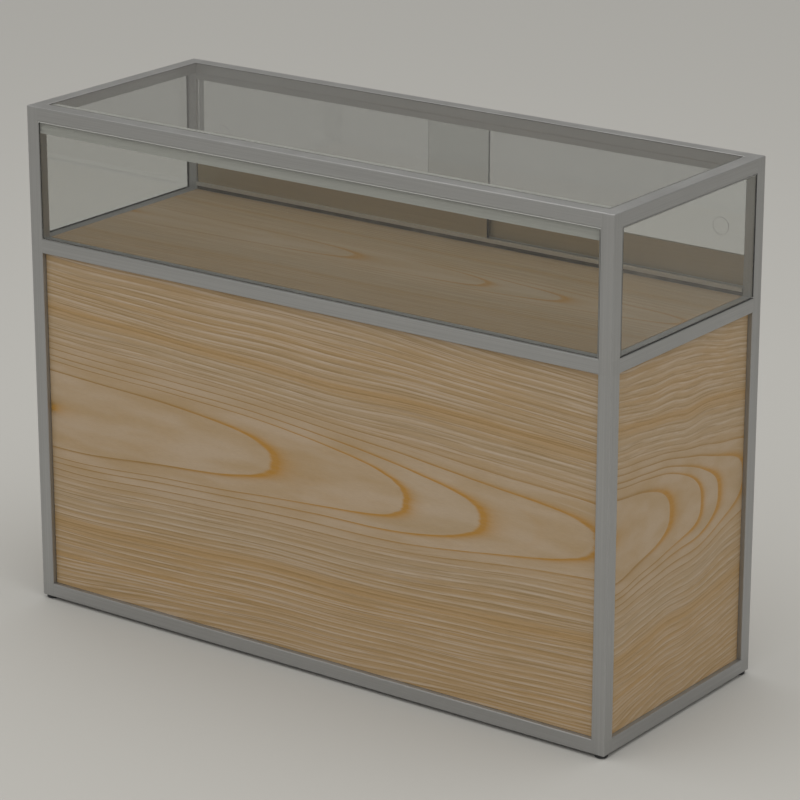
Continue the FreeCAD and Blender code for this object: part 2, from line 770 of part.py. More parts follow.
def make_lamp():
    """A housing folded round the rail, closed by a sloping diffuser and two caps."""
    wall = "lamp_wall"
    housing = bar("lamp_housing", "x", LAMP_OUTLINE[:-1] + [
        (f"lamp_rear - {wall}", "lamp_back_low"),
        (f"lamp_rear - {wall}", f"lamp_high - {wall}"),
        (f"lamp_step + {wall}", f"lamp_high - {wall}"),
        (f"lamp_step + {wall}", f"top_rail_bottom - {wall}"),
        (f"lamp_front + {wall}", f"top_rail_bottom - {wall}"),
        (f"lamp_front + {wall}", f"lamp_low + {wall}"),
        ("lamp_lip_end", f"lamp_low + {wall}"),
        ("lamp_lip_end", "lamp_low"),
    ], "2 * lamp_half_length")
    diffuser = bar("lamp_diffuser", "x", [
        ("lamp_lip_end", "lamp_low"), ("lamp_rear", "lamp_back_low"),
        ("lamp_rear - diffuser_thickness", "lamp_back_low"),
        ("lamp_lip_end", "lamp_low + diffuser_thickness"),
    ], "2 * lamp_half_length")

    face = rectangle("lamp_half_length - diode_board_inset", "diode_board_width / 2")
    strip = bar("diode_strip", "z", face, "diode_board_thickness")
    reach = number("lamp_half_length - diode_board_inset - diode_size")
    steps = int(reach // number("diode_pitch")) * 2
    first_middle = f"{steps} * diode_pitch / 2"
    diode = new_sketch(strip, "XY_Plane")
    near = f"diode_size / 2 - {first_middle}"
    far = f"-diode_size / 2 - {first_middle}"
    draw_polygon(diode, [(far, "-diode_size / 2"), (near, "-diode_size / 2"),
                         (near, "diode_size / 2"), (far, "diode_size / 2")])
    below = "diode_board_thickness / 2 + diode_height"
    first = pad(strip, diode, below, symmetric=False, reversed_way=True)
    row = strip.newObject("PartDesign::LinearPattern", "diode_row")
    row.Originals = [first]
    row.Direction = (diode, ["H_Axis"])
    bind(row, "Length", f"{steps} * diode_pitch")
    row.Occurrences = steps + 1
    strip.Tip = row
    put(strip, "0", "diode_board_y", "diode_board_top - diode_board_thickness / 2")

    caps = []
    for side in (LEFT, RIGHT):
        cap = bar("lamp_cap", "x", LAMP_OUTLINE, "lamp_cap_thickness")
        caps.append(put(cap, f"{side} * (inner_half_width - lamp_cap_thickness / 2)", "0", "0"))
    return [housing, diffuser, strip, group("lamp_end_caps", caps)]


# Building, testing and writing

SHEET = make_sheet()
nodes = (make_tubes() + make_connectors() + make_feet() + make_panes() + make_glass_doors()
         + make_storage_doors() + make_flat_boards() + make_upright_boards() + make_cleats()
         + make_shelf_pins() + make_brackets() + make_lamp())
doc.recompute()

for item in doc.Objects:
    if "Invalid" in item.State or "Error" in item.State:
        raise RuntimeError(f"{item.Label} failed: {item.State}")
for node in nodes:
    if node.Shape.isNull() or not node.Shape.isValid() or not node.Shape.Solids:
        raise RuntimeError(f"{node.Label} has no valid solid")

os.makedirs("parts", exist_ok=True)
for node in nodes:
    node.Shape.exportStep(f"parts/{node.Label}.step")
print(len(nodes), "nodes,", sum(len(node.Shape.Solids) for node in nodes), "solids")
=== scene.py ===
import json
import math
from functools import partial

import bmesh
import bpy
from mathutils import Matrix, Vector


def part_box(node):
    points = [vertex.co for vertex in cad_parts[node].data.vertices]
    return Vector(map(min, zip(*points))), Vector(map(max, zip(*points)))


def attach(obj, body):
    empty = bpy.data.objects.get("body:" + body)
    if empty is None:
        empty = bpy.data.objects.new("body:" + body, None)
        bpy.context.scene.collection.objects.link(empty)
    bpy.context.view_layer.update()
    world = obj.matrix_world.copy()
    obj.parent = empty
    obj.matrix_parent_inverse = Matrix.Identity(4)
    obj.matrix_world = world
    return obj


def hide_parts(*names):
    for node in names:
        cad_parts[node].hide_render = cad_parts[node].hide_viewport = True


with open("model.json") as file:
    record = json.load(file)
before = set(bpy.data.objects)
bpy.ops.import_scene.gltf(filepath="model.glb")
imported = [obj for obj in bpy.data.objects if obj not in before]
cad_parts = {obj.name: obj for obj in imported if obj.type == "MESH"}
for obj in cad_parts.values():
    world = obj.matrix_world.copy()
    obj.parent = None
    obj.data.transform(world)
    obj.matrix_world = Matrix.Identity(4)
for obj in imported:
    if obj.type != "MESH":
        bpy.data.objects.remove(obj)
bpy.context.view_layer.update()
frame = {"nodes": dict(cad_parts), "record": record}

MM = 0.001
NODES = frame["nodes"]


# Places, in metres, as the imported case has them
INNER_HALF_WIDTH = 0.575
INNER_HALF_DEPTH = 0.2
BASE_LEVEL = 31 * MM
CABINET_TOP = 646 * MM
DECK_LEVEL = 671 * MM
TRACK_NOSE_UNDERSIDE = 678 * MM
SHOW_TOP = 881 * MM

# The ground finger grips, their middles this far in from the doors' free edges
GRIP_DIAMETER = 30 * MM
GRIP_INSET = 55 * MM

# A run of seal lies within this of its edge, and a finish changes over this length each way
SEAL_RUN = 2 * MM
CHANGE = 0.2 * MM

# The diodes hang from their strip, and are yellow from their undersides up to this height
DIODE_FACE = 0.5 * MM

# The sheet that each storage door is cut from
DOOR_SHEET_LENGTH = 1.15

# How far the edges of each kind of piece are broken
TUBE_EDGE = 0.15 * MM
COATED_EDGE = 0.3 * MM
FIXED_PANE_EDGE = 0.5 * MM
DOOR_PANE_EDGE = 0.4 * MM
PANEL_EDGE = 0.4 * MM
HELD_BOARD_EDGE = 0.3 * MM
CLEAT_EDGE = 0.6 * MM
MOULDED_EDGE = 0.2 * MM
GROMMET_EDGE = 0.25 * MM
PLATED_EDGE = 0.12 * MM


# Colours

def srgb(red, green, blue):
    """A colour written as on a screen, from 0 to 255, in linear values."""
    linear = []
    for value in (red, green, blue):
        share = value / 255
        linear.append(share / 12.92 if share <= 0.04045 else ((share + 0.055) / 1.055) ** 2.4)
    return (*linear, 1.0)


def shade_of(colour, factor, lift=0.0):
    """The same colour made lighter or darker, and no lighter than white."""
    return tuple(min(1.0, part * factor + lift) for part in colour[:3]) + (1.0,)


ALUMINIUM = srgb(173, 173, 172)
PAINTED = srgb(199, 199, 196)
# The track's own aluminium, made lighter than the frame as painted light, so that its nose shows as a bright
# bar
TRACK_TONE_AND_PAINTED_LIGHT = srgb(204, 200, 193)
# The door channels' brown: painted reflection of the wood deck and painted shade in the band above the track
CHANNEL_BROWN_PAINTED_REFLECTION = srgb(178, 164, 138)
DUST_GREY = srgb(150, 146, 138)
# Painted shade: the shadow under the door track's nose
NOSE_SHADOW_PAINT = srgb(78, 72, 62)
WOOD_CREAM = srgb(167, 151, 133)
WOOD_MIDDLE = srgb(150, 129, 99)
WOOD_TAN = srgb(151, 122, 80)
WOOD_TIP = srgb(153, 110, 36)
WOOD_LINE = srgb(119, 95, 53)
WOOD_EDGE = srgb(120, 96, 66)
PINE_PALE = srgb(158, 132, 96)
PINE_DARK = srgb(132, 100, 62)
GLASS_TINT = (0.80, 0.81, 0.795, 1.0)
GLASS_SHADE = (0.70, 0.70, 0.68, 1.0)
# Painted shade: black seal lines where the gaps beside the panes lie in shade
SEAL_PAINTED_SHADE = srgb(30, 30, 31)
SEAL_GREY = srgb(116, 116, 113)
SEAL_GREY_LIGHT = srgb(122, 122, 118)
# Painted light: a paler seal where the top rail's shade would darken it
SEAL_PAINTED_LIGHT = srgb(166, 166, 162)
PLASTIC_BLACK = srgb(26, 26, 28)
NYLON = srgb(190, 187, 176)
OPAL = srgb(196, 196, 192)
OPAL_SHADE = srgb(188, 189, 186)
BOARD_WHITE = srgb(205, 205, 198)
BOARD_SHADE = srgb(192, 192, 186)
PHOSPHOR = srgb(208, 186, 84)
ZINC = srgb(168, 170, 174)


# Node trees

def add(tree, kind, **settings):
    node = tree.nodes.new(kind)
    for name, value in settings.items():
        setattr(node, name, value)
    return node


def join(tree, source, target):
    tree.links.new(source, target)


def feed(tree, value, socket):
    """Gives a socket a constant, or joins it to another socket."""
    if isinstance(value, (int, float, tuple)):
        socket.default_value = value
    else:
        join(tree, value, socket)


def math_node(tree, operation, *values, clamp=False):
    """A Math node whose inputs are sockets or numbers."""
    node = add(tree, "ShaderNodeMath", operation=operation, use_clamp=clamp)
    for socket, value in zip(node.inputs, values):
        feed(tree, value, socket)
    return node.outputs[0]


def vector_math(tree, operation, first, second):
    """A Vector Math node; returns its outputs."""
    node = add(tree, "ShaderNodeVectorMath", operation=operation)
    feed(tree, first, node.inputs[0])
    feed(tree, second, node.inputs[1])
    return node.outputs


def noise_node(tree, place, scale=1.0, detail=2.0, roughness=0.5):
    node = add(tree, "ShaderNodeTexNoise")
    for name, value in (("Vector", place), ("Scale", scale), ("Detail", detail), ("Roughness", roughness)):
        feed(tree, value, node.inputs[name])
    return node.outputs["Fac"]


def remap(tree, value, low, high, to_low=0.0, to_high=1.0):
    """Carries a value from low to high over to another range, eased at both ends."""
    node = add(tree, "ShaderNodeMapRange", interpolation_type="SMOOTHSTEP")
    join(tree, value, node.inputs["Value"])
    for name, number in (("From Min", low), ("From Max", high), ("To Min", to_low), ("To Max", to_high)):
        node.inputs[name].default_value = number
    return node.outputs[0]


def mix_colour(tree, share, first, second, blend="MIX"):
    """Mixes two colours; each input is a socket or a constant."""
    node = add(tree, "ShaderNodeMix", data_type="RGBA", blend_type=blend)
    for index, value in ((0, share), (6, first), (7, second)):
        feed(tree, value, node.inputs[index])
    return node.outputs[2]


def vector_of(tree, x, y, z=0.0):
    node = add(tree, "ShaderNodeCombineXYZ")
    for socket, value in zip(node.inputs, (x, y, z)):
        feed(tree, value, socket)
    return node.outputs[0]


def axes_of(tree, vector):
    """The X, Y and Z of a vector, as sockets by name."""
    node = add(tree, "ShaderNodeSeparateXYZ")
    join(tree, vector, node.inputs[0])
    return node.outputs


def new_group(name, inputs, outputs):
    """A shader node group with named sockets, given as name to (kind, default)."""
    tree = bpy.data.node_groups.new(name, "ShaderNodeTree")
    for label, (kind, default) in inputs.items():
        socket = tree.interface.new_socket(label, in_out="INPUT", socket_type=kind)
        socket.default_value = default
    for label in outputs:
        tree.interface.new_socket(label, in_out="OUTPUT", socket_type=FLOAT)
    return tree, tree.nodes.new("NodeGroupInput").outputs, tree.nodes.new("NodeGroupOutput").inputs


def place_group(tree, group, **values):
    """A group node in a material, with its own values; returns its outputs."""
    node = add(tree, "ShaderNodeGroup", node_tree=group)
    for name, value in values.items():
        feed(tree, value, node.inputs[name])
    return node.outputs


FLOAT = "NodeSocketFloat"
VECTOR = "NodeSocketVector"


# Effects that the materials share

# The sheet that the pattern is drawn for, and where its arches end, in millimetres
SHEET_WIDTH = 1150.0
SHEET_HEIGHT = 615.0
SHEET_TAPER = 0.2
ARCH_HEIGHT_SHARE = 0.54
ARCH_RISE = 1.34
ARCH_OPENING = 0.62
ARCH_BLUNTNESS = 2.8
ARCH_TIPS = (488.0, 768.0, 918.0, 1140.0)

# How far the rings are carried off by slow, middling and fine waves
SLOW_SWING = 47.7
RIPPLE_SWING = 3.5
FINE_SWING = 2.2

# Counted across the rings: their width outside the arches, where the arches end and the straight grain
# begins, where fine threads show fully, and how far the rings go
OUTER_RING = 13.0
ARCHES_END = 95.0
THREADS_FROM = 130.0
STRAIGHT_FROM = 150.0
RING_REACH = 420.0

# One dark belt on each side of the arches, and how soon the edges of the straight grain fade
BELT_ABOVE = 186.0
BELT_BELOW = 212.0
BELT_SPREAD = 13.0
STRAIGHT_SHARPNESS = 4.5


def ring_places():
    """How far out each ring's dark edge lies: first the tips of the arches, then even steps."""
    places = [0.0] + [ARCH_RISE * tip ** ARCH_OPENING for tip in ARCH_TIPS]
    while places[-1] + OUTER_RING < RING_REACH:
        places.append(places[-1] + OUTER_RING)
    return places


def count_rings(tree, radius):
    """How many rings lie within a radius, read from a curve through their places."""
    places = ring_places()
    count = float(len(places))
    curve = add(tree, "ShaderNodeFloatCurve")
    join(tree, math_node(tree, "DIVIDE", radius, RING_REACH), curve.inputs["Value"])
    points = curve.mapping.curves[0].points
    points[-1].location = (1.0, 1.0)
    for index, place in enumerate(places[1:], start=1):
        points.new(place / RING_REACH, index / count)
    for point in points:
        point.handle_type = "VECTOR"
    curve.mapping.update()
    return math_node(tree, "MULTIPLY", curve.outputs[0], count)


def make_laminate_grain():
    """Flat-sawn boards: arches along the middle, closer lines above and below.

    Across and Up run from 0 to 1 over the sheet. Wave is how far the rings wander, and Sharpness is how
    soon the dark edges of the arches fade.
    """
    tree, given, out = new_group("Laminate Grain", {
        "Across": (FLOAT, 0.0), "Up": (FLOAT, 0.0), "Seed": (FLOAT, 0.0), "Wave": (FLOAT, 1.0),
        "Sharpness": (FLOAT, 10.0),
    }, ("Ring", "Cream", "Tan", "Tip", "Fibre"))
    calc, ramp = partial(math_node, tree), partial(remap, tree)
    seed = given["Seed"]
    x = calc("MULTIPLY", given["Across"], SHEET_WIDTH)
    y = calc("MULTIPLY", calc("SUBTRACT", given["Up"], ARCH_HEIGHT_SHARE), SHEET_HEIGHT)

    def clouds(long, high, detail=2.0, roughness=0.5):
        """Noise stretched along the board: its length and height in millimetres."""
        place = vector_of(tree, calc("DIVIDE", x, long), calc("DIVIDE", y, high), seed)
        return noise_node(tree, place, detail=detail, roughness=roughness)

    def swing(value, reach):
        """Noise as a shift to both sides."""
        return calc("MULTIPLY", calc("SUBTRACT", value, 0.5), reach)

    # Arches: a rounded field that grows along the board, bent by slow waves
    ripple = calc("MULTIPLY", swing(clouds(300.0, 60.0), RIPPLE_SWING), given["Wave"])
    bend = calc("ADD", swing(clouds(560.0, 190.0, detail=1.0, roughness=0.35), SLOW_SWING), ripple)
    narrowed = calc("MULTIPLY_ADD", given["Across"], SHEET_TAPER, 1.0)
    warped = calc("MULTIPLY", calc("ADD", y, bend), narrowed)
    aside = calc("POWER", calc("ABSOLUTE", warped), ARCH_BLUNTNESS)
    along = calc("POWER", calc("MAXIMUM", x, 0.0), ARCH_OPENING)
    along = calc("POWER", calc("MULTIPLY", along, ARCH_RISE), ARCH_BLUNTNESS)
    field = calc("POWER", calc("ADD", aside, along), 1 / ARCH_BLUNTNESS)
    wiggle = calc("MULTIPLY", swing(clouds(170.0, 10.0), FINE_SWING), given["Wave"])
    looseness = ramp(field, ARCHES_END, STRAIGHT_FROM, 0.45, 1.0)
    radius = calc("MULTIPLY_ADD", wiggle, looseness, field)
    outer = ramp(radius, ARCHES_END, STRAIGHT_FROM)

    # Each ring has a phase, from its own dark edge to the next one, and a chance of its own
    rings = count_rings(tree, radius)
    phase = calc("FRACT", rings)
    chance = add(tree, "ShaderNodeTexWhiteNoise", noise_dimensions="2D")
    join(tree, vector_of(tree, calc("FLOOR", rings), seed), chance.inputs["Vector"])
    luck = chance.outputs["Value"]

    def ring_clouds(long, thick, layer, detail=2.0, roughness=0.5):
        """Noise that follows the rings: its length along the board and its thickness across them."""
        place = vector_of(tree, calc("DIVIDE", x, long), calc("DIVIDE", radius, thick), layer)
        return noise_node(tree, place, detail=detail, roughness=roughness)

    def threads(long, thick, shift):
        """Fine lines that run along the rings and hardly show inside the arches."""
        lines = ramp(ring_clouds(long, thick, calc("ADD", seed, shift), roughness=0.6), 0.52, 0.66)
        return calc("MULTIPLY", lines, ramp(radius, ARCHES_END, THREADS_FROM, 0.1, 1.0))

    # Each ring's dark edge starts sharply and fades outward; its strength differs from ring to ring
    start = ramp(phase, 0.0, 0.07)
    steep = calc("MULTIPLY", outer, calc("SUBTRACT", STRAIGHT_SHARPNESS, given["Sharpness"]))
    steep = calc("ADD", steep, given["Sharpness"])
    fade = calc("POWER", calc("SUBTRACT", 1.0, phase), steep)
    strength = calc("MULTIPLY_ADD", luck, 0.4, 0.6)
    strength = calc("MAXIMUM", strength, calc("MULTIPLY_ADD", outer, -0.9, 1.5))
    edge = calc("MULTIPLY", calc("MULTIPLY", start, fade), strength)
    edge = calc("MULTIPLY", edge, calc("MULTIPLY_ADD", outer, -0.6, 1.6), clamp=True)

    # The edges are broken in the straight grain and whole round the arches
    gaps = ramp(clouds(130.0, 5.0, detail=4.0, roughness=0.6), 0.34, 0.6, -0.7, 0.0)
    broken = calc("MULTIPLY_ADD", gaps, calc("MULTIPLY", looseness, looseness), 1.0)
    veins = calc("MULTIPLY", threads(300.0, 3.4, 5.0), 0.5)
    join(tree, calc("MAXIMUM", calc("MULTIPLY", edge, broken), veins, clamp=True), out["Ring"])

    # Only where an arch turns does its edge glow yellow; along its flanks it is a plain dark line
    flank = calc("DIVIDE", aside, calc("MAXIMUM", calc("ADD", aside, along), 1.0))
    inside = calc("SUBTRACT", 1.0, outer)
    join(tree, calc("MULTIPLY", ramp(flank, 0.1, 0.9, 1.0, 0.35), inside), out["Tip"])

    # Cream lines lie just inside the next dark edge and come and go along the board
    late = calc("MULTIPLY", ramp(phase, 0.58, 0.88), ramp(phase, 0.92, 1.0, 1.0, 0.2))
    streaks = ramp(clouds(190.0, 6.0, detail=5.0, roughness=0.62), 0.36, 0.6)
    lit = calc("MULTIPLY", late, calc("MULTIPLY_ADD", streaks, 0.65, 0.15))
    lit = calc("MULTIPLY", lit, outer)

    # Inside the arches the wood is evenly pale, in long soft patches
    patches = ramp(clouds(240.0, 40.0, detail=3.0), 0.3, 0.7, 0.0, 0.5)
    lit = calc("ADD", lit, calc("MULTIPLY", inside, patches))
    cream = calc("MAXIMUM", lit, calc("MULTIPLY", threads(340.0, 3.0, 0.0), 0.65), clamp=True)

    # Broad darker bands follow the rings, and the belt on each side of the arches is the strongest
    apart = calc("SUBTRACT", radius, ramp(warped, -60.0, 60.0, BELT_BELOW, BELT_ABOVE))
    belt = calc("DIVIDE", apart, BELT_SPREAD)
    belt = calc("EXPONENT", calc("MULTIPLY", calc("MULTIPLY", belt, belt), -1.0))
    join(tree, calc("MULTIPLY", cream, calc("MULTIPLY_ADD", belt, -0.75, 1.0)), out["Cream"])
    bands = ramp(ring_clouds(1400.0, 30.0, seed, detail=1.0), 0.45, 0.7, 0.0, 0.6)
    tone = calc("MAXIMUM", calc("MAXIMUM", bands, calc("MULTIPLY", luck, 0.4)), belt)

    # The foot of the sheet is browner, and so are a few large patches
    tone = calc("ADD", tone, ramp(warped, -150.0, -290.0, 0.0, 0.45))
    brown = ramp(clouds(420.0, 150.0), 0.5, 0.7, 0.0, 0.5)
    join(tree, calc("MAXIMUM", tone, brown, clamp=True), out["Tan"])

    join(tree, clouds(14.0, 0.8, detail=3.0, roughness=0.65), out["Fibre"])
    return tree


def make_die_lines():
    """Faint lines that an extruded profile keeps from its die, long on the axis that is stretched least."""
    tree, given, out = new_group("Die Lines", {
        "Vector": (VECTOR, (0, 0, 0)), "Stretch": (VECTOR, (1, 1, 1)),
    }, ("Lines", "Cloud"))
    scaled = vector_math(tree, "MULTIPLY", given["Vector"], given["Stretch"])[0]
    join(tree, noise_node(tree, scaled, detail=3.0, roughness=0.6), out["Lines"])
    join(tree, noise_node(tree, given["Vector"], scale=14.0, detail=3.0), out["Cloud"])
    return tree


def make_edge_wear():
    """Where an edge is turned, as a share: the rounded normal departs from the true one."""
    tree, given, out = new_group("Edge Wear", {
        "Radius": (FLOAT, 0.001), "Grain": (FLOAT, 60.0),
    }, ("Worn",))
    rounded = add(tree, "ShaderNodeBevel", samples=4)
    join(tree, given["Radius"], rounded.inputs["Radius"])
    true = add(tree, "ShaderNodeNewGeometry").outputs["Normal"]
    alike = vector_math(tree, "DOT_PRODUCT", rounded.outputs[0], true)["Value"]
    turned = remap(tree, math_node(tree, "SUBTRACT", 1.0, alike), 0.02, 0.25)
    place = add(tree, "ShaderNodeTexCoord").outputs["Object"]
    patchy = remap(tree, noise_node(tree, place, scale=given["Grain"]), 0.35, 0.65)
    join(tree, math_node(tree, "MULTIPLY", turned, patchy), out["Worn"])
    return tree


def make_dust():
    """A thin uneven layer on faces that look up."""
    tree, given, out = new_group("Dust", {"Scale": (FLOAT, 30.0)}, ("Dust",))
    normal = add(tree, "ShaderNodeNewGeometry").outputs["Normal"]
    up = remap(tree, axes_of(tree, normal)["Z"], 0.3, 1.0)
    place = add(tree, "ShaderNodeTexCoord").outputs["Object"]
    specks = remap(tree, noise_node(tree, place, scale=given["Scale"], detail=6.0), 0.4, 0.75)
    join(tree, math_node(tree, "MULTIPLY", up, specks), out["Dust"])
    return tree


LAMINATE_GRAIN = make_laminate_grain()
DIE_LINES = make_die_lines()
EDGE_WEAR = make_edge_wear()
DUST = make_dust()


# Materials

# Noise on an aluminium profile, per metre: along its die lines and across them
DIE_LINES_ALONG = 2.5
DIE_LINES_ACROSS = 900.0

# Planed softwood has its streaks upright
PINE_STRETCH = (9.0, 9.0, 420.0)

# The roughness of clean glass is 0; these are the roughest smear and the ground grip
SMEAR_ROUGHNESS = 0.01
GROUND_ROUGHNESS = 0.05

# How fully the laminate's print covers its ground
PRINT_COVER = 0.95


def new_material(name, roughness=0.5, metallic=0.0, ior=None):
    """A material with its shader; returns the material, its tree, its shader and its object coordinates."""
    material = bpy.data.materials.new(name)
    material.use_nodes = True
    tree = material.node_tree
    shader = tree.nodes["Principled BSDF"]
    shader.inputs["Roughness"].default_value = roughness
    shader.inputs["Metallic"].default_value = metallic
    if ior:
        shader.inputs["IOR"].default_value = ior
    return material, tree, shader, add(tree, "ShaderNodeTexCoord").outputs["Object"]


def add_bump(tree, shader, height, distance, strength):
    bump = add(tree, "ShaderNodeBump")
    for name, value in (("Distance", distance), ("Strength", strength), ("Height", height)):
        feed(tree, value, bump.inputs[name])
    join(tree, bump.outputs[0], shader.inputs["Normal"])


def aluminium(name, along, colour=ALUMINIUM, rough=0.46, metallic=0.9, painted_shade_below=None):
    """Satin aluminium with die lines along one axis; below a given height it is darkened with painted shade.
    """
    material, tree, shader, place = new_material(name, metallic=metallic)
    calc, ramp, mix = partial(math_node, tree), partial(remap, tree), partial(mix_colour, tree)
    stretch = tuple(DIE_LINES_ALONG if axis == along else DIE_LINES_ACROSS for axis in "XYZ")
    profile = place_group(tree, DIE_LINES, Vector=place, Stretch=stretch)
    lines, cloud = profile["Lines"], profile["Cloud"]
    worn = place_group(tree, EDGE_WEAR, Radius=0.9 * MM, Grain=90.0)["Worn"]
    dust = place_group(tree, DUST, Scale=26.0)["Dust"]
    lined = mix(ramp(lines, 0.3, 0.7), shade_of(colour, 0.93), shade_of(colour, 1.08))
    cloudy = mix(ramp(cloud, 0.3, 0.7, 0.0, 0.35), lined, colour)
    edged = mix(calc("MULTIPLY", worn, 0.25), cloudy, shade_of(colour, 1.3))
    finish = mix(calc("MULTIPLY", dust, 0.10), edged, DUST_GREY)
    # Painted shade: below the given height the colour turns dark, standing in for the shadow under the
    # track's nose
    if painted_shade_below:
        height = axes_of(tree, place)["Z"]
        low = ramp(height, painted_shade_below + 0.5 * MM, painted_shade_below - 1.0 * MM)
        finish = mix(calc("MULTIPLY", low, ramp(cloud, 0.2, 0.6, 0.6, 0.9)), finish, NOSE_SHADOW_PAINT)
    join(tree, finish, shader.inputs["Base Color"])
    roughness = calc("MULTIPLY_ADD", cloud, 0.12, rough - 0.06)
    join(tree, calc("MULTIPLY_ADD", dust, 0.15, roughness), shader.inputs["Roughness"])
    add_bump(tree, shader, lines, 0.03 * MM, 0.3)
    return material


def laminate(name, across, up, seed=0.0, wave=1.0, contrast=1.0, sharpness=10.0):
    """Wood-pattern laminate. Across and up give the axis, the start and the length of the sheet, in metres.

    Another seed makes another sheet. Wave is how far its lines wander, contrast is how strong they are,
    and sharpness is how soon the dark edges of the arches fade.
    """
    material, tree, shader, place = new_material(name)
    calc, mix = partial(math_node, tree), partial(mix_colour, tree)
    axes = axes_of(tree, place)
    shares = []
    for axis, start, length in (across, up):
        shares.append(calc("DIVIDE", calc("SUBTRACT", axes[axis], start), length))
    grain = place_group(tree, LAMINATE_GRAIN, Across=shares[0], Up=shares[1], Seed=seed, Wave=wave,
                        Sharpness=sharpness)
    ground = mix(grain["Tan"], WOOD_MIDDLE, WOOD_TAN)
    creamy = mix(calc("MULTIPLY", grain["Cream"], PRINT_COVER * contrast), ground, WOOD_CREAM)

    # The yellow tips keep their strength where the contrast is lower
    ring_colour = mix(grain["Tip"], WOOD_LINE, WOOD_TIP)
    cover = calc("MAXIMUM", calc("MULTIPLY", grain["Tip"], PRINT_COVER), PRINT_COVER * contrast)
    ringed = mix(calc("MULTIPLY", grain["Ring"], cover), creamy, ring_colour)

    fibre = remap(tree, grain["Fibre"], 0.3, 0.7, 0.93, 1.05)
    shaded = mix(1.0, ringed, vector_of(tree, fibre, fibre, fibre), blend="MULTIPLY")
    worn = place_group(tree, EDGE_WEAR, Radius=0.6 * MM, Grain=120.0)["Worn"]
    edged = mix(calc("MULTIPLY", worn, 0.3), shaded, WOOD_EDGE)
    join(tree, edged, shader.inputs["Base Color"])
    roughness = calc("MULTIPLY_ADD", grain["Fibre"], 0.16, 0.40)
    join(tree, calc("MULTIPLY_ADD", grain["Ring"], 0.08, roughness), shader.inputs["Roughness"])
    add_bump(tree, shader, grain["Fibre"], 0.02 * MM, 0.35)
    return material


def pine():
    """Planed softwood for the cleats."""
    material, tree, shader, place = new_material("Planed softwood", roughness=0.62)
    scale = add(tree, "ShaderNodeMapping")
    scale.inputs["Scale"].default_value = PINE_STRETCH
    join(tree, place, scale.inputs["Vector"])
    streak = noise_node(tree, scale.outputs[0], detail=4.0, roughness=0.6)
    colour = mix_colour(tree, remap(tree, streak, 0.35, 0.65), PINE_PALE, PINE_DARK)
    join(tree, colour, shader.inputs["Base Color"])
    add_bump(tree, shader, streak, 0.1 * MM, 0.5)
    return material


def glass(name, grip=None):
    """Clear float glass with faint smears and, on a door, a finger grip ground round the given place.

    Shadow and diffuse rays go straight through, dimmed, so that the inside of the case is lit.
    """
    material, tree, shader, place = new_material(name, roughness=0.0, ior=1.5)
    shader.inputs["Base Color"].default_value = GLASS_TINT
    shader.inputs["Transmission Weight"].default_value = 1.0
    smear = noise_node(tree, place, scale=7.0, detail=5.0, roughness=0.6)
    frosted = remap(tree, smear, 0.55, 0.8, 0.0, SMEAR_ROUGHNESS)
    if grip is not None:
        on_pane = vector_math(tree, "MULTIPLY", place, (1.0, 0.0, 1.0))[0]
        apart = vector_math(tree, "DISTANCE", on_pane, (grip.x, 0.0, grip.z))["Value"]
        rim = GRIP_DIAMETER / 2
        ground = remap(tree, apart, rim + CHANGE, rim - CHANGE, 0.0, GROUND_ROUGHNESS)
        frosted = math_node(tree, "MAXIMUM", frosted, ground)
    join(tree, frosted, shader.inputs["Roughness"])
    add_bump(tree, shader, noise_node(tree, place, scale=2.2, detail=1.0), 0.1 * MM, 0.04)

    light = add(tree, "ShaderNodeLightPath").outputs
    straight = math_node(tree, "MAXIMUM", light["Is Shadow Ray"], light["Is Diffuse Ray"])
    clear = add(tree, "ShaderNodeBsdfTransparent")
    clear.inputs["Color"].default_value = GLASS_SHADE
    both = add(tree, "ShaderNodeMixShader")
    for socket, source in zip(both.inputs, (straight, shader.outputs[0], clear.outputs[0])):
        join(tree, source, socket)
    join(tree, both.outputs[0], tree.nodes["Material Output"].inputs["Surface"])
    return material


def plastic(name, colour, rough, grain_scale, grain_depth):
    """Moulded plastic or rubber with a fine skin."""
    material, tree, shader, place = new_material(name, ior=1.5)
    skin = noise_node(tree, place, scale=grain_scale, detail=3.0)
    worn = place_group(tree, EDGE_WEAR, Radius=0.5 * MM, Grain=200.0)["Worn"]
    shade = mix_colour(tree, remap(tree, skin, 0.35, 0.65), colour, shade_of(colour, 1.12, 0.004))
    edged = mix_colour(tree, math_node(tree, "MULTIPLY", worn, 0.25), shade, shade_of(colour, 1.6, 0.02))
    join(tree, edged, shader.inputs["Base Color"])
    join(tree, math_node(tree, "MULTIPLY_ADD", skin, 0.2, rough - 0.1), shader.inputs["Roughness"])
    add_bump(tree, shader, skin, grain_depth, 0.4)
    return material


def seal(name, runs=()):
    """Grey seal. Each run has a colour of its own, painted light or painted shade: it is given as axis,
    where it ends and begins, colour.
    """
    material, tree, shader, place = new_material(name)
    axes = axes_of(tree, place)
    skin = noise_node(tree, place, scale=500.0, detail=3.0)
    tone = mix_colour(tree, skin, SEAL_GREY, SEAL_GREY_LIGHT)
    for axis, ends, begins, colour in runs:
        tone = mix_colour(tree, remap(tree, axes[axis], ends, begins), tone, colour)
    join(tree, tone, shader.inputs["Base Color"])
    join(tree, math_node(tree, "MULTIPLY_ADD", skin, 0.2, 0.42), shader.inputs["Roughness"])
    add_bump(tree, shader, skin, 0.05 * MM, 0.4)
    return material


def zinc():
    """Bright zinc plating with its faint crystal cloud."""
    material, tree, shader, place = new_material("Zinc plated steel", metallic=1.0)
    crystals = add(tree, "ShaderNodeTexVoronoi")
    crystals.inputs["Scale"].default_value = 420.0
    join(tree, place, crystals.inputs["Vector"])
    middle = crystals.outputs["Distance"]
    join(tree, mix_colour(tree, middle, shade_of(ZINC, 0.8), ZINC), shader.inputs["Base Color"])
    join(tree, math_node(tree, "MULTIPLY_ADD", middle, 0.15, 0.26), shader.inputs["Roughness"])
    add_bump(tree, shader, middle, 0.02 * MM, 0.4)
    return material


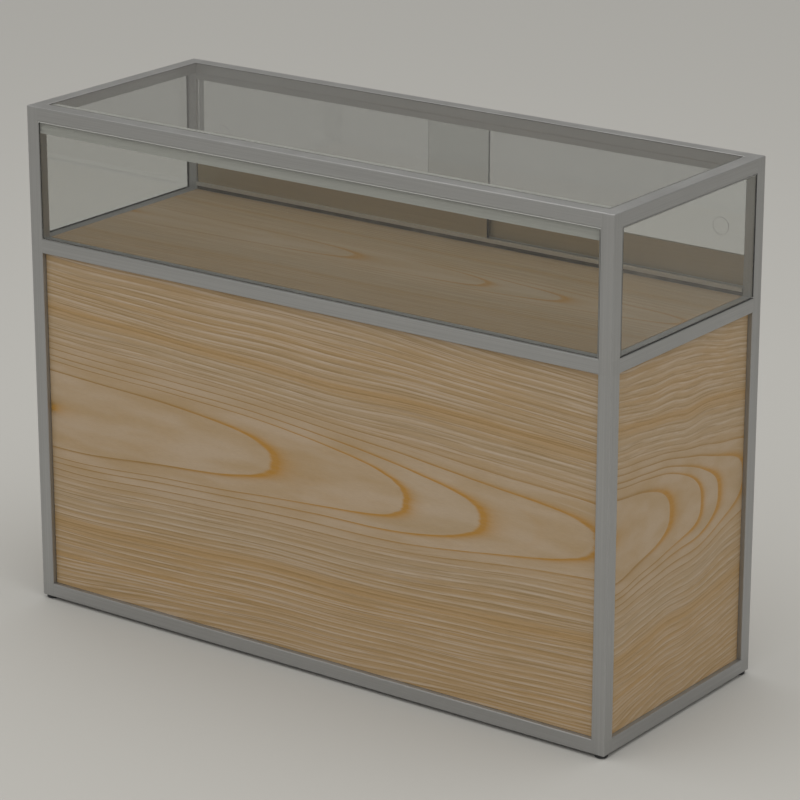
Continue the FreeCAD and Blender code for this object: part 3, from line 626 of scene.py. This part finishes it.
def diode_board():
    """A white strip and the diodes that hang from it, yellow on their undersides."""
    material, tree, shader, place = new_material("Diode strip", roughness=0.35)
    height = axes_of(tree, place)["Z"]
    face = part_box("diode_strip")[0].z + DIODE_FACE
    below = remap(tree, height, face + 0.1 * MM, face - 0.1 * MM)
    tone = noise_node(tree, place, scale=160.0)
    board = mix_colour(tree, remap(tree, tone, 0.3, 0.7), BOARD_WHITE, BOARD_SHADE)
    join(tree, mix_colour(tree, below, board, PHOSPHOR), shader.inputs["Base Color"])
    return material


def opal():
    """The diffuser: milky and softly shiny."""
    material, tree, shader, place = new_material("Opal diffuser", roughness=0.32, ior=1.49)
    tone = noise_node(tree, place, scale=22.0)
    milk = mix_colour(tree, remap(tree, tone, 0.3, 0.7), OPAL, OPAL_SHADE)
    join(tree, milk, shader.inputs["Base Color"])
    ribs = add(tree, "ShaderNodeTexWave", bands_direction="X")
    ribs.inputs["Scale"].default_value = 160.0
    join(tree, place, ribs.inputs["Vector"])
    add_bump(tree, shader, ribs.outputs["Fac"], 0.05 * MM, 0.2)
    return material


def paint(piece, material):
    """Gives a piece its one material."""
    piece.data.materials.clear()
    piece.data.materials.append(material)


# Softened copies of the CAD nodes

BODY_OF = {node: body for body, nodes in frame["record"]["behaviour"]["bodies"].items() for node in nodes}

# Loose triangles are merged within this, and flat faces joined up to this angle
MERGE_WITHIN = 0.002 * MM
FLAT_WITHIN = math.radians(1.0)

# An edge that turns more than the first angle is broken; one that turns less than the second shades smooth
SHARP_FROM = math.radians(50)
SMOOTH_BELOW = math.radians(35)


def soften(node, width, material):
    """A copy of a node whose sharp edges are broken, as a maker does, shown in the node's place."""
    shape = bmesh.new()
    shape.from_mesh(NODES[node].data)
    bmesh.ops.remove_doubles(shape, verts=shape.verts, dist=MERGE_WITHIN)
    bmesh.ops.dissolve_limit(shape, angle_limit=FLAT_WITHIN, verts=shape.verts, edges=shape.edges)
    closed = [edge for edge in shape.edges if len(edge.link_faces) == 2]
    sharp = [edge for edge in closed if edge.calc_face_angle(0.0) > SHARP_FROM]
    bmesh.ops.bevel(shape, geom=sharp, offset=width, offset_type="OFFSET", segments=2, profile=0.5,
                    affect="EDGES", clamp_overlap=True, material=-1)
    for face in shape.faces:
        face.smooth = True
    for edge in shape.edges:
        edge.smooth = len(edge.link_faces) == 2 and edge.calc_face_angle(0.0) < SMOOTH_BELOW
    mesh = bpy.data.meshes.new(f"{node}_finished")
    shape.to_mesh(mesh)
    shape.free()
    piece = bpy.data.objects.new(f"{node}_finished", mesh)
    bpy.context.scene.collection.objects.link(piece)
    flat = piece.modifiers.new("Flat faces stay flat", "WEIGHTED_NORMAL")
    flat.keep_sharp = True
    paint(piece, material)
    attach(piece, BODY_OF[node])
    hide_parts(node)


def finish_frame():
    """Tubes and connectors with their cut ends broken, so that the joints show as hairlines."""
    along_x = aluminium("Anodised along the width", "X")
    along_y = aluminium("Anodised along the depth", "Y")
    along_z = aluminium("Anodised upright", "Z")
    cast = aluminium("Anodised corner", "Z", rough=0.5)
    for level in ("base", "mid", "top"):
        for side in ("front", "rear"):
            soften(f"{level}_rail_{side}", TUBE_EDGE, along_x)
        for side in ("left", "right"):
            soften(f"{level}_rail_{side}", TUBE_EDGE, along_y)
    for level in ("lower", "upper"):
        for corner in ("front_left", "front_right", "rear_left", "rear_right"):
            soften(f"{level}_post_{corner}", TUBE_EDGE, along_z)
    for level in ("bottom", "mid", "top"):
        soften(f"{level}_connectors", TUBE_EDGE, cast)
    # The track carries painted light in its lighter tone and painted shade under its nose
    track = aluminium("Track under the glass doors, painted light and shade", "X", colour=TRACK_TONE_AND_PAINTED_LIGHT, painted_shade_below=TRACK_NOSE_UNDERSIDE)
    soften("glass_door_track_lower", TUBE_EDGE, track)
    for node in ("glass_door_track_upper", "storage_track_lower", "storage_track_upper"):
        soften(node, TUBE_EDGE, along_x)
    painted = aluminium("Powder coated lamp", "X", colour=PAINTED, rough=0.5, metallic=0.0)
    soften("lamp_housing", COATED_EDGE, painted)
    soften("lamp_end_caps", COATED_EDGE, painted)
    # The channels are real; their brown is painted reflection of the wood deck and painted shade
    channel_brown_painted_reflection = aluminium("Channel brown with painted deck reflection", "X", colour=CHANNEL_BROWN_PAINTED_REFLECTION, rough=0.5)
    for side in ("left", "right"):
        soften(f"glass_door_{side}_channel", COATED_EDGE, channel_brown_painted_reflection)


def finish_glass():
    """Panes with ground arrises, their seals, and the doors with their finger grips frosted."""
    clear = glass("Float glass")
    for node in ("front_glass", "left_glass", "right_glass", "top_glass"):
        soften(node, FIXED_PANE_EDGE, clear)
    for side, way in (("left", -1), ("right", 1)):
        low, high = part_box(f"glass_door_{side}")
        free_edge = low.x if way < 0 else high.x
        grip = Vector((free_edge - way * GRIP_INSET, 0.0, (low.z + high.z) / 2))
        soften(f"glass_door_{side}", DOOR_PANE_EDGE, glass(f"Door glass {side}", grip))

    # Painted light makes the front seal pale under the top rail, where shade falls; painted shade makes the
    # end panes' seals black along the sill and the rear post
    under_rail, above_sill = SHOW_TOP - SEAL_RUN, DECK_LEVEL + SEAL_RUN
    before_post = INNER_HALF_DEPTH - SEAL_RUN
    front = seal("Front seal with painted light", [("Z", under_rail - CHANGE, under_rail + CHANGE, SEAL_PAINTED_LIGHT)])
    # Painted shade: the end panes' seals turn black along the sill and the rear post
    side = seal("Side seal with painted shade", [
        ("Z", above_sill + CHANGE, above_sill - CHANGE, SEAL_PAINTED_SHADE),
        ("Y", before_post - CHANGE, before_post + CHANGE, SEAL_PAINTED_SHADE),
    ])
    paint(NODES["front_glass_seal"], front)
    paint(NODES["top_glass_seal"], seal("Top seal"))
    paint(NODES["left_glass_seal"], side)
    paint(NODES["right_glass_seal"], side)


def finish_boards():
    """Laminate on every board, its sheet laid over the face that shows."""
    width = ("X", -INNER_HALF_WIDTH, 2 * INNER_HALF_WIDTH)
    depth = ("Y", -INNER_HALF_DEPTH, 2 * INNER_HALF_DEPTH)
    upright = ("Z", BASE_LEVEL, CABINET_TOP - BASE_LEVEL)
    side = laminate("Laminate of the sides", depth, upright, wave=0.25, contrast=0.85, sharpness=6.0)
    soften("front_panel", PANEL_EDGE, laminate("Laminate of the front", width, upright, contrast=1.05))
    soften("left_panel", PANEL_EDGE, side)
    soften("right_panel", PANEL_EDGE, side)
    soften("deck_board", HELD_BOARD_EDGE, laminate("Laminate of the deck", width, depth))
    shelf = laminate("Laminate of the shelf", width, depth, seed=4.0)
    soften("base_board", HELD_BOARD_EDGE, shelf)
    soften("storage_shelf", PANEL_EDGE, shelf)
    for name, seed in (("left", 7.0), ("right", 11.0)):
        low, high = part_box(f"storage_door_{name}")
        across, up = ("X", low.x, DOOR_SHEET_LENGTH), ("Z", low.z, high.z - low.z)
        board = laminate(f"Laminate of the {name} door", across, up, seed=seed)
        soften(f"storage_door_{name}", PANEL_EDGE, board)
    soften("board_cleats", CLEAT_EDGE, pine())


def finish_small_parts():
    """Glides, grommets, pins, brackets and screws, and the lamp's diffuser and strip."""
    black = plastic("Black moulded plastic", PLASTIC_BLACK, 0.5, 700.0, 0.03 * MM)
    nylon = plastic("Natural nylon", NYLON, 0.4, 300.0, 0.02 * MM)
    plated = zinc()
    soften("feet", MOULDED_EDGE, black)
    for side in ("left", "right"):
        soften(f"storage_door_{side}_grommet", GROMMET_EDGE, black)
        soften(f"glass_door_{side}_glides", MOULDED_EDGE, nylon)
    for node in ("shelf_pins", "angle_brackets", "bracket_screws"):
        soften(node, PLATED_EDGE, plated)
    soften("lamp_diffuser", MOULDED_EDGE, opal())
    paint(NODES["diode_strip"], diode_board())


finish_frame()
finish_glass()
finish_boards()
finish_small_parts()


# The studio

CAMERA_PLACE = Vector((3.33609, -4.49637, 2.2949))
CAMERA_AZIMUTH = math.radians(36.3286)
CAMERA_ELEVATION = math.radians(18.4140)
LENS = 155.245
SENSOR_WIDTH = 36.0
CLIP_END = 100.0

FLOOR_REACH = 9.0
FLOOR_COLOUR = srgb(161, 159, 154)
FLOOR_ROUGHNESS = 0.9
BACKDROP = srgb(170, 168, 163)
MIRRORED_BACKDROP = srgb(144, 142, 138)
MIRRORED_INSIDE = srgb(114, 112, 108)
SKY_LIGHT = (1.04, 1.04, 1.03, 1.0)

# Each lamp's place, the side of its square and its power; all of them look at one point
LAMPS = {
    "Top": ((0.3, -0.3, 4.0), 3.5, 66.0),
    "Key": ((-1.6, -3.6, 3.2), 3.0, 22.0),
    "Fill": ((4.0, -1.2, 2.8), 3.0, 14.0),
}
LIT_POINT = Vector((0.0, 0.0, 0.4))


def make_floor():
    shape = bmesh.new()
    bmesh.ops.create_grid(shape, x_segments=1, y_segments=1, size=FLOOR_REACH)
    mesh = bpy.data.meshes.new("floor")
    shape.to_mesh(mesh)
    shape.free()
    floor = bpy.data.objects.new("floor", mesh)
    bpy.context.scene.collection.objects.link(floor)
    material = bpy.data.materials.new("Pale floor")
    material.use_nodes = True
    shader = material.node_tree.nodes["Principled BSDF"]
    shader.inputs["Base Color"].default_value = FLOOR_COLOUR
    shader.inputs["Roughness"].default_value = FLOOR_ROUGHNESS
    paint(floor, material)


def make_world():
    """An even sky lights the case. The camera and the glass show a plain backdrop in its place.

    In a reflection the backdrop is darker, and darkest where a reflection leaves through a pane.
    """
    world = bpy.data.worlds.new("Studio")
    bpy.context.scene.world = world
    world.use_nodes = True
    tree = world.node_tree
    background = tree.nodes["Background"]
    light = add(tree, "ShaderNodeLightPath").outputs
    seen = math_node(tree, "MAXIMUM", light["Is Camera Ray"], light["Is Transmission Ray"])
    reflected = math_node(tree, "GREATER_THAN", light["Glossy Depth"], 0.5)
    through_pane = math_node(tree, "MULTIPLY", reflected, light["Is Transmission Ray"])
    plain = mix_colour(tree, seen, SKY_LIGHT, BACKDROP)
    mirrored = mix_colour(tree, light["Is Glossy Ray"], plain, MIRRORED_BACKDROP)
    join(tree, mix_colour(tree, through_pane, mirrored, MIRRORED_INSIDE), background.inputs["Color"])
    background.inputs["Strength"].default_value = 1.0


def make_lamp(name, place, side, power):
    lamp = bpy.data.lights.new(name, "AREA")
    lamp.shape = "SQUARE"
    lamp.size = side
    lamp.energy = power
    holder = bpy.data.objects.new(name, lamp)
    bpy.context.scene.collection.objects.link(holder)
    holder.location = place
    holder.rotation_euler = (LIT_POINT - Vector(place)).to_track_quat("-Z", "Y").to_euler()


def make_camera():
    camera = bpy.data.cameras.new("Camera")
    camera.sensor_width = SENSOR_WIDTH
    camera.lens = LENS
    camera.clip_end = CLIP_END
    holder = bpy.data.objects.new("Camera", camera)
    bpy.context.scene.collection.objects.link(holder)
    holder.location = CAMERA_PLACE
    holder.rotation_euler = (math.pi / 2 - CAMERA_ELEVATION, 0.0, CAMERA_AZIMUTH)
    bpy.context.scene.camera = holder


make_floor()
make_world()
for lamp_name, (lamp_place, lamp_side, lamp_power) in LAMPS.items():
    make_lamp(lamp_name, lamp_place, lamp_side, lamp_power)
make_camera()
bpy.context.scene.view_settings.view_transform = "Standard"
